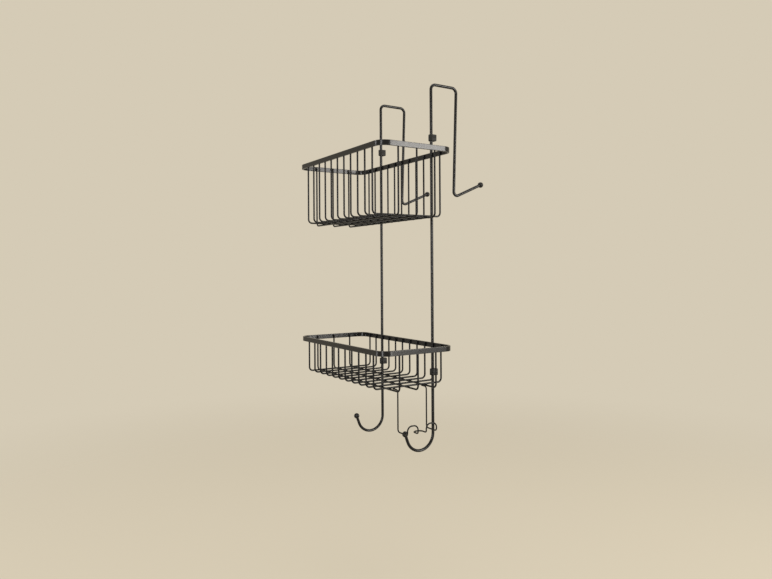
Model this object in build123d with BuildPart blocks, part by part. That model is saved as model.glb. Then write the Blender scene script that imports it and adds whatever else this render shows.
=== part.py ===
import os
from math import cos, radians, sin

from build123d import *

os.makedirs("parts", exist_ok=True)

# A two-tier wire caddy that hangs by two rods, which are hooked over an upright edge.
# +X runs along the baskets, +Y points away from the user, +Z is up.
# The origin lies midway between the hanger rods, at the height of the underside of
# their bridges and in the plane of the flat faces of the bumpers.

# Hanger rods, one bent round bar on each side
rod_diameter = 4.5
rod_spacing = 146.0
bridge_span = 48.5
bridge_bend = 8.0
back_leg_drop = 170.5
back_leg_lean = 2.0
robe_arm_length = 59.0
robe_arm_rise = 23.0
robe_arm_bend = 6.0
front_hook_drop = 554.5
front_hook_radius = 24.0
front_hook_turn = 160.0
front_hook_tip = 13.0

# Balls on the four free rod ends
ball_diameter = 9.0
ball_bore_clearance = 0.02

# Baskets: a flat strip rim on edge, with bent wires welded inside it
basket_width = 263.0
basket_depth = 125.0
upper_rim_drop = 103.5
tier_spacing = 287.0
upper_basket_height = 102.5
lower_basket_height = 59.5
strip_height = 7.5
strip_thickness = 3.0
strip_edge_radius = 0.5
rim_inside_corner = 13.5

# Basket wires
wire_diameter = 2.6
wire_bend = 6.0
wire_end_inset = 1.0
wire_end_round = 0.4
cross_wire_count = 11
cross_wire_margin = 28.5
long_wire_names = ("front", "middle", "back")
long_wire_margin = 31.5

# Razor holder under the right end of the lower basket
razor_wire_diameter = 2.0
razor_leg_clearance = 4.2
razor_leg_offset = 9.5
razor_tail = 2.5
razor_drop = 61.0
razor_reach = 24.0
razor_lip_height = 12.0
razor_lip_bend = 7.0
razor_notch_width = 14.0
razor_notch_depth = 14.0
razor_notch_bend = 6.5
razor_bend = 4.0
razor_lip_foot_bend = 3.0

# Bumpers, D-shaped rubber sleeves that slide on the rods
bumper_reach = 7.5
bumper_wall = 2.2
bumper_height = 10.0
bumper_bore_clearance = 0.05
bumper_edge_radius = 0.8
upper_bumper_gap = 19.0
lower_bumper_gap = 33.0

# Hair gap left between pieces that are welded together
weld_gap = 0.01

# Places that follow from the sizes
rod_radius = rod_diameter / 2
wire_radius = wire_diameter / 2
ball_radius = ball_diameter / 2
razor_radius = razor_wire_diameter / 2
rod_y = -bumper_reach
rod_places = {"left": -rod_spacing / 2, "right": rod_spacing / 2}
rim_back = rod_y - rod_radius - weld_gap
rim_front = rim_back - basket_depth
basket_mid_y = (rim_back + rim_front) / 2
upper_rim_top = -upper_rim_drop
lower_rim_top = upper_rim_top - tier_spacing
leg_inset = strip_thickness + wire_radius + weld_gap
front_leg_y = rim_front + leg_inset
back_leg_y = rim_back - leg_inset
end_leg_x = basket_width / 2 - leg_inset
cross_wire_span = basket_width - 2 * cross_wire_margin
cross_wire_pitch = cross_wire_span / (cross_wire_count - 1)
long_wire_pitch = (basket_depth - 2 * long_wire_margin) / (len(long_wire_names) - 1)
tiers = {
    "upper": (upper_rim_top, upper_basket_height),
    "lower": (lower_rim_top, lower_basket_height),
}


def save(piece, name):
    """Label one finished piece and write it to its own file."""
    piece.part.label = name
    export_step(piece.part, f"parts/{name}.step")


def long_wire_height(rim_top, basket_height):
    """Centre height of the lengthwise wires, which are the underside of the basket."""
    return rim_top - basket_height + wire_radius


def cross_wire_height(rim_top, basket_height):
    """Centre height of the crosswise floor wires, which lie on the lengthwise ones."""
    return long_wire_height(rim_top, basket_height) + wire_diameter + weld_gap


def step(start, angle, distance):
    """The point of an upright YZ plane that lies a distance away at an angle in degrees."""
    return (start[0] + distance * cos(radians(angle)), start[1] + distance * sin(radians(angle)))


# Hanger rods: front hook, straight run, bridge over the top, back leg and robe hook arm
hook_centre = (rod_y - front_hook_radius, -front_hook_drop + rod_radius + front_hook_radius)
hook_start = step(hook_centre, -front_hook_turn, front_hook_radius)
hook_tip_angle = -90 - front_hook_turn
front_ball = step(hook_start, hook_tip_angle, front_hook_tip)
bridge_z = rod_radius
leg_top = (rod_y + bridge_span, bridge_z)
leg_foot = step(leg_top, -90 - back_leg_lean, back_leg_drop)
robe_ball = step(leg_foot, robe_arm_rise, robe_arm_length)

for side, rod_x in rod_places.items():
    with BuildPart() as hanger_rod:
        with BuildLine(Plane.YZ.offset(rod_x)) as rod_route:
            Line(front_ball, hook_start)
            CenterArc(hook_centre, front_hook_radius, -front_hook_turn, front_hook_turn)
            FilletPolyline(
                (rod_y, hook_centre[1]),
                (rod_y, bridge_z),
                leg_top,
                leg_foot,
                robe_ball,
                radius=[bridge_bend, bridge_bend, robe_arm_bend],
            )
        with BuildSketch(rod_route.line ^ 0):
            Circle(rod_radius)
        sweep()
    save(hanger_rod, f"hanger_rod_{side}")

# Balls: each sits over a rod end, which stops at the ball's centre
for side, rod_x in rod_places.items():
    for hook, centre, tip_angle in (
        ("front_hook", front_ball, hook_tip_angle),
        ("robe_hook", robe_ball, robe_arm_rise),
    ):
        rod_end = Plane(origin=(rod_x, *centre), z_dir=(0, *step((0, 0), tip_angle, -1)))
        with BuildPart(rod_end) as ball:
            Sphere(ball_radius)
            with BuildSketch(rod_end):
                Circle(rod_radius + ball_bore_clearance)
            extrude(amount=ball_diameter, mode=Mode.SUBTRACT)
        save(ball, f"{hook}_ball_{side}")

# Rims: flat strip on edge, bent to a rounded rectangle
for tier, (rim_top, _) in tiers.items():
    with BuildPart() as rim:
        with BuildSketch(Plane.XY.offset(rim_top - strip_height)):
            with Locations((0, basket_mid_y)):
                RectangleRounded(basket_width, basket_depth, rim_inside_corner + strip_thickness)
                RectangleRounded(
                    basket_width - 2 * strip_thickness,
                    basket_depth - 2 * strip_thickness,
                    rim_inside_corner,
                    mode=Mode.SUBTRACT,
                )
        extrude(amount=strip_height)
        strip_edges = rim.faces().filter_by(Axis.Z).edges()
        fillet(strip_edges, min(strip_edge_radius, strip_thickness / 3, strip_height / 3))
    save(rim, f"{tier}_rim")

# Cross wires: down the front, across the floor and up the back
for tier, (rim_top, basket_height) in tiers.items():
    floor_z = cross_wire_height(rim_top, basket_height)
    for index in range(cross_wire_count):
        wire_x = -cross_wire_span / 2 + index * cross_wire_pitch
        with BuildPart() as cross_wire:
            with BuildLine(Plane.YZ.offset(wire_x)) as wire_route:
                FilletPolyline(
                    (front_leg_y, rim_top - wire_end_inset),
                    (front_leg_y, floor_z),
                    (back_leg_y, floor_z),
                    (back_leg_y, rim_top - wire_end_inset),
                    radius=wire_bend,
                )
            with BuildSketch(wire_route.line ^ 0):
                Circle(wire_radius)
            sweep()
            cut_ends = cross_wire.faces().filter_by(Axis.Z).edges()
            fillet(cut_ends, min(wire_end_round, wire_radius / 2))
        save(cross_wire, f"{tier}_cross_wire_{index + 1:02d}")

# Long wires: down one end, along under the cross wires and up the other end
for tier, (rim_top, basket_height) in tiers.items():
    floor_z = long_wire_height(rim_top, basket_height)
    for index, place in enumerate(long_wire_names):
        wire_y = rim_front + long_wire_margin + index * long_wire_pitch
        with BuildPart() as long_wire:
            with BuildLine(Plane.XZ.offset(-wire_y)) as wire_route:
                FilletPolyline(
                    (-end_leg_x, rim_top - wire_end_inset),
                    (-end_leg_x, floor_z),
                    (end_leg_x, floor_z),
                    (end_leg_x, rim_top - wire_end_inset),
                    radius=wire_bend,
                )
            with BuildSketch(wire_route.line ^ 0):
                Circle(wire_radius)
            sweep()
            cut_ends = long_wire.faces().filter_by(Axis.Z).edges()
            fillet(cut_ends, min(wire_end_round, wire_radius / 2))
        save(long_wire, f"{tier}_long_wire_{place}")

# Razor holder: welded under the last cross wire at both ends, out and down two legs,
# out to the side, up over a lip at each slot and back in to a notch between the slots
razor_floor_z = cross_wire_height(lower_rim_top, lower_basket_height)
razor_foot_z = razor_floor_z - razor_drop
razor_lip_z = razor_foot_z + razor_lip_height
razor_top_z = razor_floor_z - wire_radius - razor_radius - weld_gap
razor_in_x = cross_wire_span / 2 + razor_leg_offset
razor_out_x = razor_in_x + razor_reach
razor_notch_x = razor_out_x - razor_notch_depth
razor_leg_y = rim_front + long_wire_margin + wire_radius + razor_radius + razor_leg_clearance
razor_slot_y = basket_mid_y - razor_notch_width / 2
razor_slot_width = razor_slot_y - razor_leg_y
razor_lip_turn = min(razor_lip_bend, (razor_slot_width - razor_wire_diameter) / 2)
razor_half = [
    (cross_wire_span / 2 - razor_tail, razor_leg_y, razor_top_z),
    (razor_in_x, razor_leg_y, razor_top_z),
    (razor_in_x, razor_leg_y, razor_foot_z),
    (razor_out_x, razor_leg_y, razor_foot_z),
    (razor_out_x, razor_leg_y, razor_lip_z),
    (razor_out_x, razor_slot_y, razor_lip_z),
    (razor_out_x, razor_slot_y, razor_foot_z),
    (razor_notch_x, razor_slot_y, razor_foot_z),
]
razor_other_half = [(x, 2 * basket_mid_y - y, z) for x, y, z in reversed(razor_half)]
razor_half_bends = [
    razor_bend,
    razor_bend,
    razor_bend,
    razor_lip_turn,
    razor_lip_turn,
    razor_lip_foot_bend,
    razor_notch_bend,
]
with BuildPart() as razor_holder:
    with BuildLine() as razor_route:
        FilletPolyline(
            *razor_half,
            *razor_other_half,
            radius=razor_half_bends + razor_half_bends[::-1],
        )
    with BuildSketch(razor_route.line ^ 0):
        Circle(razor_radius)
    sweep()
    cut_ends = razor_holder.faces().filter_by(Axis.X).edges()
    fillet(cut_ends, min(wire_end_round, razor_radius / 2))
save(razor_holder, "razor_holder")

# Bumpers: round in front of the rod, flat at the back
bumper_radius = rod_radius + bumper_wall
bumper_floors = {
    "upper": upper_rim_top + upper_bumper_gap,
    "lower": lower_rim_top - strip_height - lower_bumper_gap - bumper_height,
}
for tier, bumper_floor in bumper_floors.items():
    for side, rod_x in rod_places.items():
        with BuildPart() as bumper:
            with BuildSketch(Plane.XY.offset(bumper_floor)):
                with Locations((rod_x, rod_y)):
                    Circle(bumper_radius)
                    Rectangle(2 * bumper_radius, bumper_reach, align=(Align.CENTER, Align.MIN))
            extrude(amount=bumper_height)
            bumper_ends = bumper.faces().filter_by(Axis.Z).edges()
            fillet(bumper_ends, min(bumper_edge_radius, bumper_wall / 2))
            with BuildSketch(Plane.XY.offset(bumper_floor)):
                with Locations((rod_x, rod_y)):
                    Circle(rod_radius + bumper_bore_clearance)
            extrude(amount=bumper_height, mode=Mode.SUBTRACT)
        save(bumper, f"{tier}_bumper_{side}")
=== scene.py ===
import math

import bmesh
import bpy
from mathutils import Matrix, Vector


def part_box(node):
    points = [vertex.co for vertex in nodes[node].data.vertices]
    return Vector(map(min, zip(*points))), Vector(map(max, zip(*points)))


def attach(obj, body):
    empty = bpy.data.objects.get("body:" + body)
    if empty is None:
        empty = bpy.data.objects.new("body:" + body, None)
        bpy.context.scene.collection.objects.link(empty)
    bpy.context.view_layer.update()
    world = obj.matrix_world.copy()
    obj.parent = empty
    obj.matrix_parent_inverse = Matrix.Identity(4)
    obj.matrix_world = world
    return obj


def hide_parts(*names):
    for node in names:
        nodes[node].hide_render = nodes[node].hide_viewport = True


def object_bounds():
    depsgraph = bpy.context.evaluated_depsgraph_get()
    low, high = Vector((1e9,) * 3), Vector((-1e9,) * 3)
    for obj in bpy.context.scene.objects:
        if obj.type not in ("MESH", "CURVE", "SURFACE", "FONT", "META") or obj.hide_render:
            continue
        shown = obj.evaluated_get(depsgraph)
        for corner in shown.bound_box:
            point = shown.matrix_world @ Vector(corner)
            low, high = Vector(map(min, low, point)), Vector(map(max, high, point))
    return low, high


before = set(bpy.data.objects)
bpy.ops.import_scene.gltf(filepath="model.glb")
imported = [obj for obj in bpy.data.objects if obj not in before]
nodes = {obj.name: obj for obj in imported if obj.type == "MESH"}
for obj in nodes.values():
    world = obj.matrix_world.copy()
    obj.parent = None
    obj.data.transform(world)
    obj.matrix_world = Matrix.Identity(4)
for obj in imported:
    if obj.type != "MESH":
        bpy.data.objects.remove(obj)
cad_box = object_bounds()

# Hanger rods. Two round steel bars, each cold-bent in one piece: front hook, upright,
# bridge over the top, back leg and robe arm. They are dipped whole with the baskets
# in a satin black coat, which lies on the metal with a fine orange-peel skin.

MM = 0.001


class Shade:
    """A node socket of a material that takes part in Python expressions."""

    def __init__(self, tree, socket=None):
        self.tree = tree
        self.socket = socket

    def node(self, kind, settings=None, inputs=None, output=0):
        """Add a node, set it up, fill its inputs with numbers or links, and wrap an output."""
        made = self.tree.nodes.new(kind)
        for name, value in (settings or {}).items():
            setattr(made, name, value)
        for key, value in (inputs or {}).items():
            if isinstance(value, Shade):
                self.tree.links.new(value.socket, made.inputs[key])
            else:
                made.inputs[key].default_value = value
        return Shade(self.tree, made.outputs[output])

    def math(self, operation, first, second):
        """One Math node."""
        return self.node("ShaderNodeMath", {"operation": operation}, {0: first, 1: second})

    def __add__(self, other):
        return self.math("ADD", self, other)

    def __sub__(self, other):
        return self.math("SUBTRACT", self, other)

    def __mul__(self, other):
        return self.math("MULTIPLY", self, other)

    def __rsub__(self, other):
        return self.math("SUBTRACT", other, self)

    __radd__ = __add__
    __rmul__ = __mul__

    def feeds(self, shader, socket):
        """Link this value to an input of a shader node."""
        self.tree.links.new(self.socket, shader.inputs[socket])


def new_finish(name, **constants):
    """A material with its shader's steady values set, and the place on the object as a Shade."""
    material = bpy.data.materials.new(name)
    material.use_nodes = True
    shader = material.node_tree.nodes["Principled BSDF"]
    for socket, value in constants.items():
        shader.inputs[socket.replace("_", " ")].default_value = value
    place = Shade(material.node_tree).node("ShaderNodeTexCoord", output="Object")
    return material, shader, place


def grain(place, size, detail=2.0, stretch=(1, 1, 1)):
    """Noise from 0 to 1 whose patches are about a size across, in metres."""
    scale = [1 / (size * s) for s in stretch]
    spread = place.node(
        "ShaderNodeVectorMath", {"operation": "MULTIPLY"}, {0: place, 1: scale}
    )
    return place.node("ShaderNodeTexNoise", None, {"Vector": spread, "Scale": 1.0, "Detail": detail})


def between(factor, low, high):
    """A colour that goes from low to high with a factor."""
    return factor.node(
        "ShaderNodeMix", {"data_type": "RGBA"}, {0: factor, 6: (*low, 1), 7: (*high, 1)}, output=2
    )


def black_coat(name, deep, worn, gloss, gloss_spread, peel, shine):
    """Satin black coating on steel: slow shifts of depth and gloss, and an orange-peel skin."""
    material, shader, place = new_finish(name, Specular_IOR_Level=shine)
    drift = grain(place, 0.035, detail=3.0)
    mottle = grain(place, 0.0035, detail=3.0)
    between(drift * 0.6 + mottle * 0.4, deep, worn).feeds(shader, "Base Color")
    (gloss + (drift - 0.5) * gloss_spread + (mottle - 0.5) * gloss_spread).feeds(shader, "Roughness")
    skin = grain(place, 0.0016) * 0.7 + grain(place, 0.0005) * 0.3
    bump = skin.node("ShaderNodeBump", None, {"Height": skin, "Distance": peel, "Strength": 1.0})
    bump.feeds(shader, "Normal")
    return material, shader, place


def dress(names, material):
    """Give CAD nodes their finish."""
    for name in names:
        nodes[name].data.materials.clear()
        nodes[name].data.materials.append(material)


COAT_DEEP = (0.003, 0.003, 0.0033)
COAT_WORN = (0.0065, 0.0065, 0.007)
rod_coat, _, _ = black_coat("rod_coat", COAT_DEEP, COAT_WORN, 0.27, 0.06, 0.003 * MM, 0.20)
rods = {side: f"hanger_rod_{side}" for side in ("left", "right")}
dress(rods.values(), rod_coat)

# Ball tips. A turned steel ball is pushed over each free end of the rods, so that the
# tip is blunt. The coat runs into the corner between ball and rod and leaves a soft neck,
# and it pools a little on the ball, which shines more than the rest.

ball_coat, _, _ = black_coat("ball_coat", COAT_DEEP, COAT_WORN, 0.20, 0.06, 0.002 * MM, 0.22)
NECK_FILLET = 0.7 * MM
NECK_SINK = 0.15 * MM
NECK_STEPS = 6
NECK_SIDES = 40
boxes = {name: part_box(name) for name in nodes}


def middle(node):
    """Centre of a CAD node's box."""
    low, high = boxes[node]
    return (low + high) / 2


def bar_radius(node, axis=0):
    """Radius of a bent round bar, whose box is one bar thick along an axis."""
    low, high = boxes[node]
    return (high[axis] - low[axis]) / 2


def add_piece(bm, name, material, body, sharp=40):
    """Turn a bmesh into a smooth shaded piece that rides on a body."""
    bmesh.ops.recalc_face_normals(bm, faces=bm.faces)
    mesh = bpy.data.meshes.new(name)
    bm.to_mesh(mesh)
    bm.free()
    mesh.polygons.foreach_set("use_smooth", [True] * len(mesh.polygons))
    mesh.set_sharp_from_angle(angle=math.radians(sharp))
    mesh.materials.append(material)
    piece = bpy.data.objects.new(name, mesh)
    bpy.context.scene.collection.objects.link(piece)
    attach(piece, body)
    return piece


def skin_rings(bm, rings, closed=False):
    """Join rings of points with faces, round each ring and from ring to ring."""
    rows = [[bm.verts.new(point) for point in ring] for ring in rings]
    pairs = list(zip(rows, rows[1:]))
    if closed:
        pairs.append((rows[-1], rows[0]))
    for row, following in pairs:
        for i in range(len(row)):
            j = (i + 1) % len(row)
            bm.faces.new((row[i], row[j], following[j], following[i]))
    return rows


def neck_profile(rod_radius, ball_radius):
    """Radius and height of the neck's section: a fillet from ball to rod, closed inside them."""
    fillet_radius = rod_radius + NECK_FILLET
    fillet_height = math.sqrt((ball_radius + NECK_FILLET) ** 2 - fillet_radius**2)
    ball_angle = math.atan2(-fillet_height, -fillet_radius)
    outer = []
    for i in range(NECK_STEPS + 1):
        turn = ball_angle + (-math.pi - ball_angle) * i / NECK_STEPS
        radius = fillet_radius + NECK_FILLET * math.cos(turn)
        height = fillet_height + NECK_FILLET * math.sin(turn)
        outer.append((radius, height))
    inner_radius = rod_radius - NECK_SINK
    return outer + [(inner_radius, outer[-1][1]), (inner_radius, outer[0][1] - NECK_SINK)]


def ball_centre(ball, toward_rod):
    """Centre of a ball, taken from its far side, because the bore cuts the near side short."""
    low, high = boxes[ball]
    radius = bar_radius(ball)
    return Vector(h - radius if t < 0 else l + radius for l, h, t in zip(low, high, toward_rod))


def add_neck(ball, rod_radius, toward_rod):
    """A ring of coat round the rod where it enters a ball."""
    turn = toward_rod.to_track_quat("Z", "X").to_matrix()
    centre = ball_centre(ball, toward_rod)
    profile = neck_profile(rod_radius, bar_radius(ball))
    rings = []
    for i in range(NECK_SIDES):
        angle = 2 * math.pi * i / NECK_SIDES
        across = Vector((math.cos(angle), math.sin(angle), 0))
        up = Vector((0, 0, 1))
        rings.append([centre + turn @ (across * radius + up * height) for radius, height in profile])
    bm = bmesh.new()
    skin_rings(bm, rings, closed=True)
    add_piece(bm, f"{ball}_neck", ball_coat, "frame")


FRONT_HOOK_TURN = math.radians(160)
ROBE_ARM_RISE = math.radians(23)
ball_ends = {
    "front_hook": Vector((0, math.sin(FRONT_HOOK_TURN), math.cos(FRONT_HOOK_TURN))),
    "robe_hook": Vector((0, -math.cos(ROBE_ARM_RISE), -math.sin(ROBE_ARM_RISE))),
}
for side, rod in rods.items():
    for hook, toward_rod in ball_ends.items():
        add_neck(f"{hook}_ball_{side}", bar_radius(rod), toward_rod)
        dress([f"{hook}_ball_{side}"], ball_coat)

# Rims. A flat steel strip on edge, bent to a rounded rectangle and welded to the rods
# behind it. The coat draws back from the strip's edges, so they are a little thinner and
# smoother there; their colour is painted lighter, partly as wear and partly as painted sheen.

tiers = {tier: f"{tier}_rim" for tier in ("upper", "lower")}
EDGE_BAND = 0.9 * MM
# Colour of the strip's edges: partly worn coat, partly painted sheen of light on the edges.
EDGE_WEAR_AND_SHEEN = (0.022, 0.022, 0.023)


def strip_coat(rim):
    """The coat of one rim, which knows how high the strip's two edges lie and paints them lighter: partly
    wear, partly painted sheen.
    """
    low, high = boxes[rim]
    material, shader, place = black_coat(f"{rim}_coat", COAT_DEEP, COAT_WORN, 0.24, 0.06, 0.003 * MM, 0.22)
    height = place.node("ShaderNodeSeparateXYZ", None, {0: place}, output=2)
    above = height - middle(rim).z
    off_middle = above.math("ABSOLUTE", above, 0.0)
    half = (high.z - low.z) / 2
    edge = off_middle.node(
        "ShaderNodeMapRange",
        {"interpolation_type": "SMOOTHSTEP"},
        {"Value": off_middle, "From Min": half - EDGE_BAND, "From Max": half},
    )
    # Lighter band along both edges of the strip: partly worn coat, partly painted sheen.
    edge_wear_and_sheen = edge * (0.35 + grain(place, 0.006, detail=4.0) * 0.65)
    body = shader.inputs["Base Color"].links[0].from_socket
    worn = place.node(
        "ShaderNodeMix",
        {"data_type": "RGBA"},
        {0: edge_wear_and_sheen, 6: Shade(place.tree, body), 7: (*EDGE_WEAR_AND_SHEEN, 1)},
        output=2,
    )
    worn.feeds(shader, "Base Color")
    return material


SEAM_STATIONS = ((0.0, 0.25), (0.08, 0.7), (0.25, 1.0), (0.75, 1.0), (0.92, 0.7), (1.0, 0.25))
SEAM_ARC_STEPS = 5
SEAM_SINK = 0.06 * MM


def seam_section(radius, throat):
    """Section of a weld seam: two fillets between a round bar and the flat that it lies on."""
    reach = 2 * math.sqrt(radius * throat)
    top_turn = math.atan2(radius - throat, -reach)
    right = []
    for i in range(SEAM_ARC_STEPS + 1):
        turn = 1.5 * math.pi + (top_turn - 1.5 * math.pi) * i / SEAM_ARC_STEPS
        right.append((reach + throat * math.cos(turn), throat + throat * math.sin(turn)))
    left = [(-across, up) for across, up in reversed(right)]
    return right + left + [(-reach, -SEAM_SINK), (reach, -SEAM_SINK)]


def add_seam(bm, start, end, away, radius, throat):
    """A weld seam along a bar on a flat, thinning out at both ends. Away points to the bar."""
    side = (end - start).normalized().cross(away)
    rings = []
    for share, swell in SEAM_STATIONS:
        foot = start.lerp(end, share)
        section = seam_section(radius, throat * swell)
        rings.append([foot + side * across + away * up for across, up in section])
    rows = skin_rings(bm, rings)
    bm.faces.new(rows[0])
    bm.faces.new(rows[-1])


ROD_THROAT = 0.9 * MM
STRIP_EDGE = 0.5 * MM
for tier, rim in tiers.items():
    rim_low, rim_high = boxes[rim]
    dress([rim], strip_coat(rim))
    rod_welds = bmesh.new()
    for rod in rods.values():
        rod_x = middle(rod).x
        start = Vector((rod_x, rim_high.y, rim_low.z + STRIP_EDGE))
        end = Vector((rod_x, rim_high.y, rim_high.z - STRIP_EDGE))
        add_seam(rod_welds, start, end, Vector((0, 1, 0)), bar_radius(rod), ROD_THROAT)
    add_piece(rod_welds, f"{tier}_rod_welds", rod_coat, "frame")

# Cross wires. Drawn steel wire, cut and bent to a U that goes down the front, across the
# floor and up the back of the basket. Both ends are spot-welded to the inside of the rim,
# and the coat fills the corners of the welds.

wire_coat, _, _ = black_coat("wire_coat", COAT_DEEP, COAT_WORN, 0.26, 0.06, 0.002 * MM, 0.12)
WIRE_THROAT = 0.5 * MM
SEAM_END = 0.6 * MM


def weld_legs(bm, wire, rim, axis):
    """Weld seams where the two legs of a U-shaped wire lie on the inside of the rim."""
    wire_low, wire_high = boxes[wire]
    rim_bottom = boxes[rim][0].z
    for face, inward in ((wire_low[axis], 1), (wire_high[axis], -1)):
        start = middle(wire)
        start[axis] = face
        end = start.copy()
        start.z = rim_bottom + STRIP_EDGE
        end.z = wire_high.z - SEAM_END
        away = Vector((0, 0, 0))
        away[axis] = inward
        add_seam(bm, start, end, away, bar_radius(wire, 1 - axis), WIRE_THROAT)


cross_wires = {tier: sorted(n for n in nodes if n.startswith(f"{tier}_cross_wire")) for tier in tiers}
for tier, wires in cross_wires.items():
    dress(wires, wire_coat)
    leg_welds = bmesh.new()
    for wire in wires:
        weld_legs(leg_welds, wire, tiers[tier], axis=1)
    add_piece(leg_welds, f"{tier}_cross_wire_welds", wire_coat, "frame")

# Long wires. The same wire in longer U shapes, under the cross wires: down one end of the
# basket, along the floor and up the other end. They are spot-welded to the rim and to
# every cross wire that they carry, with a small bead at each crossing.

long_wires = {tier: sorted(n for n in nodes if n.startswith(f"{tier}_long_wire")) for tier in tiers}
BEAD_SPREAD = 1.5 * MM
BEAD_HEIGHT = 0.6 * MM
BEAD_LOBE = 0.18


def add_bead(bm, centre, first, second, spread, height):
    """A weld bead squeezed between two crossing wires, with webs in the four corners."""
    turn = Matrix((first, second, first.cross(second))).transposed()
    verts = bmesh.ops.create_uvsphere(bm, u_segments=24, v_segments=12, radius=1.0)["verts"]
    for vert in verts:
        lobe = 1 - BEAD_LOBE * math.cos(4 * math.atan2(vert.co.y, vert.co.x))
        local = Vector((vert.co.x * lobe * spread, vert.co.y * lobe * spread, vert.co.z * height))
        vert.co = centre + turn @ local


for tier, wires in long_wires.items():
    dress(wires, wire_coat)
    leg_welds = bmesh.new()
    beads = bmesh.new()
    for wire in wires:
        weld_legs(leg_welds, wire, tiers[tier], axis=0)
        for cross_wire in cross_wires[tier]:
            crossing = Vector((middle(cross_wire).x, middle(wire).y, boxes[cross_wire][0].z))
            add_bead(beads, crossing, Vector((1, 0, 0)), Vector((0, 1, 0)), BEAD_SPREAD, BEAD_HEIGHT)
    add_piece(leg_welds, f"{tier}_long_wire_welds", wire_coat, "frame")
    add_piece(beads, f"{tier}_floor_welds", wire_coat, "frame")

# Razor holder. One thin wire bent into two slots with raised lips and a notch between
# them. Its two ends run in under the last cross wire of the lower basket and are
# spot-welded there, with a bead at each, and coated with the rest.

RAZOR_WIRE_RADIUS = 1.0 * MM
RAZOR_BEAD_SPREAD = 1.25 * MM
dress(["razor_holder"], wire_coat)
razor_low, razor_high = boxes["razor_holder"]
last_wire = cross_wires["lower"][-1]
razor_welds = bmesh.new()
for leg_y in (razor_low.y + RAZOR_WIRE_RADIUS, razor_high.y - RAZOR_WIRE_RADIUS):
    touch = Vector((middle(last_wire).x, leg_y, boxes[last_wire][0].z))
    add_bead(razor_welds, touch, Vector((1, 0, 0)), Vector((0, 1, 0)), RAZOR_BEAD_SPREAD, BEAD_HEIGHT)
add_piece(razor_welds, "razor_holder_welds", wire_coat, "frame")

# Bumpers. Moulded black rubber sleeves that grip the rods: round in front and flat at the
# back, where they rest, with soft edges and a thin parting line of the mould halfway up.
# They can be pushed along the rod by hand.

BUMPER_CORNER = 1.3 * MM
BUMPER_EDGE = 1.0 * MM
BUMPER_EDGE_STEPS = 5
BORE_PLAY = 0.05 * MM
BORE_LIP = 0.35 * MM
PARTING_HEIGHT = 0.12 * MM
PARTING_HALF_WIDTH = 0.22 * MM
FRONT_STEPS = 28
CORNER_STEPS = 7
SIDE_STEPS = 6
BACK_STEPS = 8


def rubber_skin():
    """Matt moulded rubber with a fine eroded grain and a faint pale bloom."""
    material, shader, place = new_finish("bumper_rubber", Specular_IOR_Level=0.2)
    bloom = grain(place, 0.003, detail=4.0)
    between(bloom, (0.010, 0.010, 0.010), (0.018, 0.018, 0.0175)).feeds(shader, "Base Color")
    (0.62 + (bloom - 0.5) * 0.16).feeds(shader, "Roughness")
    pits = grain(place, 0.00035, detail=1.0)
    bump = pits.node("ShaderNodeBump", None, {"Height": pits, "Distance": 0.02 * MM, "Strength": 1.0})
    bump.feeds(shader, "Normal")
    return material


def bumper_outline(inset, radius, reach):
    """Points round a bumper seen from above, about the rod's axis, drawn in by an inset."""
    radius -= inset
    back = reach - inset
    corner = max(BUMPER_CORNER - inset, 0.2 * MM)
    points = []
    for i in range(FRONT_STEPS + 1):
        turn = math.pi + math.pi * i / FRONT_STEPS
        points.append((radius * math.cos(turn), radius * math.sin(turn)))
    for i in range(1, SIDE_STEPS):
        points.append((radius, (back - corner) * i / SIDE_STEPS))
    for i in range(CORNER_STEPS + 1):
        turn = math.pi / 2 * i / CORNER_STEPS
        across = radius - corner + corner * math.cos(turn)
        points.append((across, back - corner + corner * math.sin(turn)))
    for i in range(1, BACK_STEPS):
        points.append(((radius - corner) * (1 - 2 * i / BACK_STEPS), back))
    for i in range(CORNER_STEPS + 1):
        turn = math.pi / 2 + math.pi / 2 * i / CORNER_STEPS
        across = corner - radius + corner * math.cos(turn)
        points.append((across, back - corner + corner * math.sin(turn)))
    for i in range(1, SIDE_STEPS):
        points.append((-radius, (back - corner) * (1 - i / SIDE_STEPS)))
    return points


def bore_outline(bore_radius, outline):
    """Points round the bore, each facing the outline's point of the same number."""
    turns = [math.atan2(y, x) for x, y in outline]
    return [(bore_radius * math.cos(turn), bore_radius * math.sin(turn)) for turn in turns]


def add_bumper(node, body, rod, material):
    """One rubber sleeve in the place of its CAD node."""
    low, high = boxes[node]
    radius = bar_radius(node)
    half = (high.z - low.z) / 2
    reach = high.y - low.y - radius
    axis = Vector((middle(node).x, high.y - reach, low.z))
    below = []
    for i in range(BUMPER_EDGE_STEPS + 1):
        turn = math.pi / 2 * i / BUMPER_EDGE_STEPS
        inset = PARTING_HEIGHT + BUMPER_EDGE * (1 - math.sin(turn))
        below.append((BUMPER_EDGE * (1 - math.cos(turn)), inset))
    below.append((half - PARTING_HALF_WIDTH, PARTING_HEIGHT))
    stations = below + [(half, 0.0)] + [(2 * half - height, inset) for height, inset in reversed(below)]
    rings = []
    for height, inset in stations:
        outline = bumper_outline(inset, radius, reach)
        rings.append([axis + Vector((x, y, height)) for x, y in outline])
    outline = bumper_outline(0, radius, reach)
    bore_stations = (
        (2 * half, BORE_LIP),
        (2 * half - BORE_LIP, 0),
        (BORE_LIP, 0),
        (0, BORE_LIP),
    )
    for height, flare in bore_stations:
        bore = bore_outline(bar_radius(rod) + BORE_PLAY + flare, outline)
        rings.append([axis + Vector((x, y, height)) for x, y in bore])
    bm = bmesh.new()
    skin_rings(bm, rings, closed=True)
    piece = add_piece(bm, f"{node}_sleeve", material, body, sharp=50)
    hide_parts(node)


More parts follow.
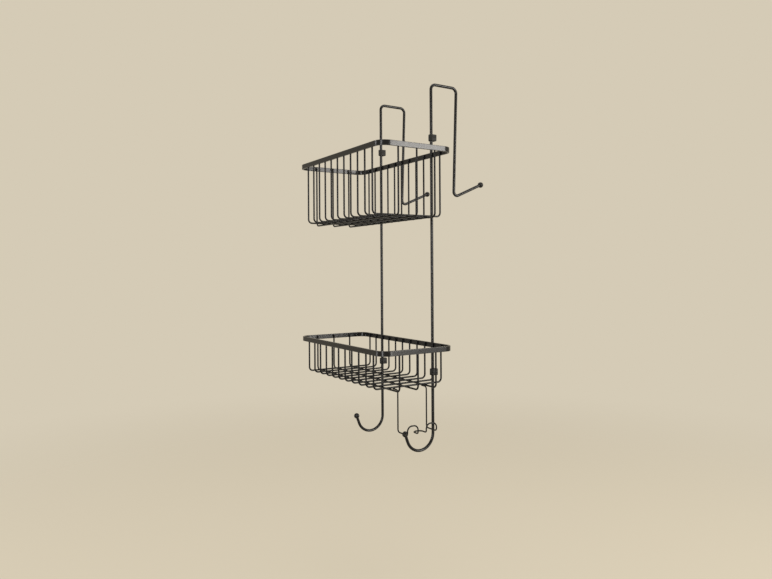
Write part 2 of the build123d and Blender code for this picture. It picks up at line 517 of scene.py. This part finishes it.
bumper_rubber = rubber_skin()
for tier in tiers:
    for side, rod in rods.items():
        add_bumper(f"{tier}_bumper_{side}", f"{tier}_{side}_bumper", rod, bumper_rubber)

# Studio. A pale warm floor below the hanging caddy that fades into an even backdrop of
# the same colour, a tall soft light at the right with a small low one beside it, two
# narrow strips of light in front and a broad one overhead.

BACKDROP = (0.665, 0.597, 0.468)
FLOOR_DROP = 0.22
FLOOR_RADIUS = 1.8
FLOOR_SHARE = 0.4
FADE_FROM = 0.5
FADE_TO = 1.7
AMBIENT = 0.50

low, high = cad_box
centre = (low + high) / 2
bm = bmesh.new()
bmesh.ops.create_circle(bm, cap_ends=True, segments=96, radius=FLOOR_RADIUS)
floor_mesh = bpy.data.meshes.new("floor")
bm.to_mesh(floor_mesh)
bm.free()
floor = bpy.data.objects.new("floor", floor_mesh)
floor.location = (centre.x, centre.y, low.z - FLOOR_DROP)
bpy.context.scene.collection.objects.link(floor)
floor_paint, floor_shader, floor_place = new_finish(
    "floor_paint",
    Base_Color=(*(FLOOR_SHARE * level for level in BACKDROP), 1),
    Roughness=0.9,
    Specular_IOR_Level=0.0,
    Emission_Color=(*BACKDROP, 1),
    Emission_Strength=1 - FLOOR_SHARE,
)
distance = floor_place.node("ShaderNodeVectorMath", {"operation": "LENGTH"}, {0: floor_place}, output=1)
presence = distance.node(
    "ShaderNodeMapRange",
    {"interpolation_type": "SMOOTHSTEP"},
    {"Value": distance, "From Min": FADE_FROM, "From Max": FADE_TO, "To Min": 1.0, "To Max": 0.0},
)
presence.feeds(floor_shader, "Alpha")
floor_mesh.materials.append(floor_paint)

world = bpy.data.worlds.new("backdrop")
bpy.context.scene.world = world
world.use_nodes = True
sky = world.node_tree.nodes["Background"]
sky.inputs["Color"].default_value = (*BACKDROP, 1)
light_path = Shade(world.node_tree).node("ShaderNodeLightPath", output="Is Camera Ray")
rays = light_path.socket.node
seen = light_path + Shade(world.node_tree, rays.outputs["Is Glossy Ray"])
seen = seen + Shade(world.node_tree, rays.outputs["Is Transmission Ray"])
(seen * (1 - AMBIENT) + AMBIENT).feeds(sky, "Strength")


def add_softbox(name, azimuth, elevation, distance, width, height, radiance, colour=(1, 1, 1)):
    """A soft lamp that faces the caddy; azimuth turns from +X to +Y, in degrees."""
    lamp = bpy.data.lights.new(name, "AREA")
    lamp.shape = "RECTANGLE"
    lamp.size = width
    lamp.size_y = height
    lamp.energy = radiance * math.pi * width * height
    lamp.color = colour
    turn = math.radians(azimuth)
    rise = math.radians(elevation)
    toward = Vector((math.cos(turn) * math.cos(rise), math.sin(turn) * math.cos(rise), math.sin(rise)))
    box = bpy.data.objects.new(name, lamp)
    box.location = centre + toward * distance
    box.rotation_euler = (-toward).to_track_quat("-Z", "Y").to_euler()
    box.visible_camera = False
    bpy.context.scene.collection.objects.link(box)


WARM = (1.0, 0.97, 0.92)
add_softbox("side_light", 32, 7, 2.2, 0.6, 0.85, 28.0, WARM)
add_softbox("low_light", 22, -9, 2.2, 0.24, 0.28, 36.0, WARM)
add_softbox("front_light", -58, 3, 2.0, 0.12, 1.1, 48.0)
add_softbox("left_light", -118, 3, 2.0, 0.12, 1.1, 36.0)
add_softbox("ceiling_light", 0, 89, 1.6, 1.0, 1.0, 4.0)

# Camera. Level, at the height of the middle of the caddy and to the right in front of it,
# with the lens, the small roll and the small vertical shift of the photograph's framing.

PHOTO_WIDTH = 772
FOCAL_PIXELS = 645.2
HORIZON_ABOVE_MIDDLE = 19.4
CAMERA_PLACE = (0.8695, -0.5887, -0.2806)
CAMERA_TURN = 57.96
CAMERA_ROLL = 0.35

camera_data = bpy.data.cameras.new("camera")
camera_data.sensor_width = 36.0
camera_data.lens = camera_data.sensor_width * FOCAL_PIXELS / PHOTO_WIDTH
camera_data.shift_y = -HORIZON_ABOVE_MIDDLE / PHOTO_WIDTH
camera = bpy.data.objects.new("camera", camera_data)
camera.location = CAMERA_PLACE
camera.rotation_euler = [math.radians(turn) for turn in (90, CAMERA_ROLL, CAMERA_TURN)]
bpy.context.scene.collection.objects.link(camera)
bpy.context.scene.camera = camera
bpy.context.scene.view_settings.view_transform = "Standard"
